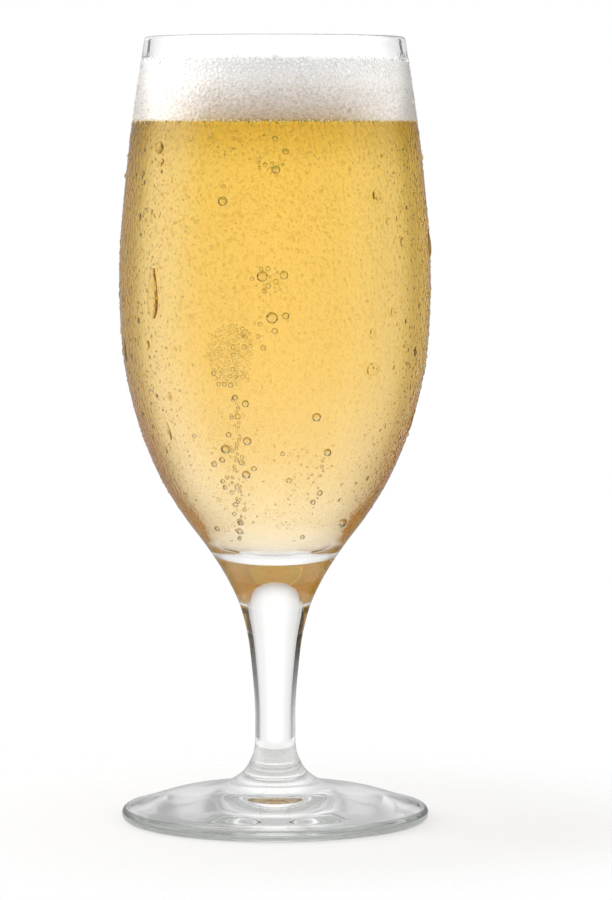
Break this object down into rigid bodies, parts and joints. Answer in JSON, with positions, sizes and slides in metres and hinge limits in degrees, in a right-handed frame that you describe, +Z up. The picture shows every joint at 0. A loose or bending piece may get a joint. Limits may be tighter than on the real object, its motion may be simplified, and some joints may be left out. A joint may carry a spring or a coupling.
{
  "type": "glass of shandy",
  "caption": "Stemmed tulip beer glass filled with golden shandy under a white foam head, standing on a round foot, free space left below the rim.",
  "frame": {"origin": "centre of the underside of the foot, on the table", "axes": "+Z up along the axis of the glass"},
  "size_m": [0.0774, 0.0774, 0.1952],
  "materials": {
    "clear_glass": "clear, polished",
    "shandy": "clear golden liquid",
    "foam": "fine white froth"
  },
  "bodies": {
    "root": {"glass": "clear_glass", "drink": "shandy", "foam": "foam"}
  },
  "joints": []
}
